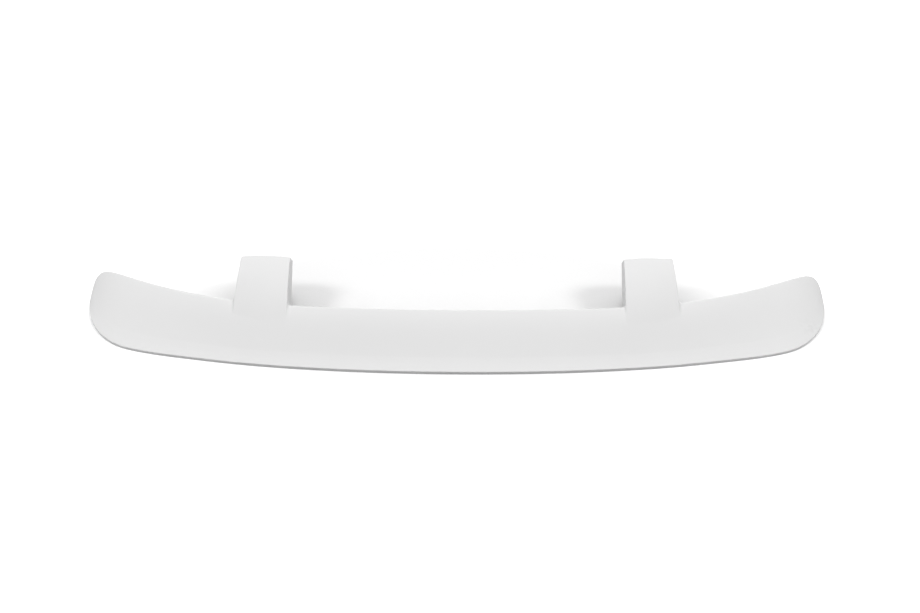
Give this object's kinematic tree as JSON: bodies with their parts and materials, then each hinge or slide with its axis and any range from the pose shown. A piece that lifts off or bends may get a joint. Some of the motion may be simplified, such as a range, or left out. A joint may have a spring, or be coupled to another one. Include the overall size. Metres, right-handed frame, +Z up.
{
  "type": "rear spoiler",
  "caption": "Car roof spoiler moulded in one piece: a bowed blade with rounded ends on wedge-shaped feet whose sloping faces bond and screw to the tailgate, in white primer.",
  "frame": {"origin": "below the middle of the bounding box, on the surface that the spoiler rests on", "axes": "+X to the right of the car and along the blade, +Y to the front of the car, +Z up as the spoiler lies on a flat surface on its trailing edge and the heels of its feet"},
  "size_m": [1.188, 0.2491, 0.082],
  "materials": {
    "primer": "satin white primer on moulded polyurethane"
  },
  "bodies": {
    "root": {"spoiler_body": "primer"}
  },
  "joints": []
}
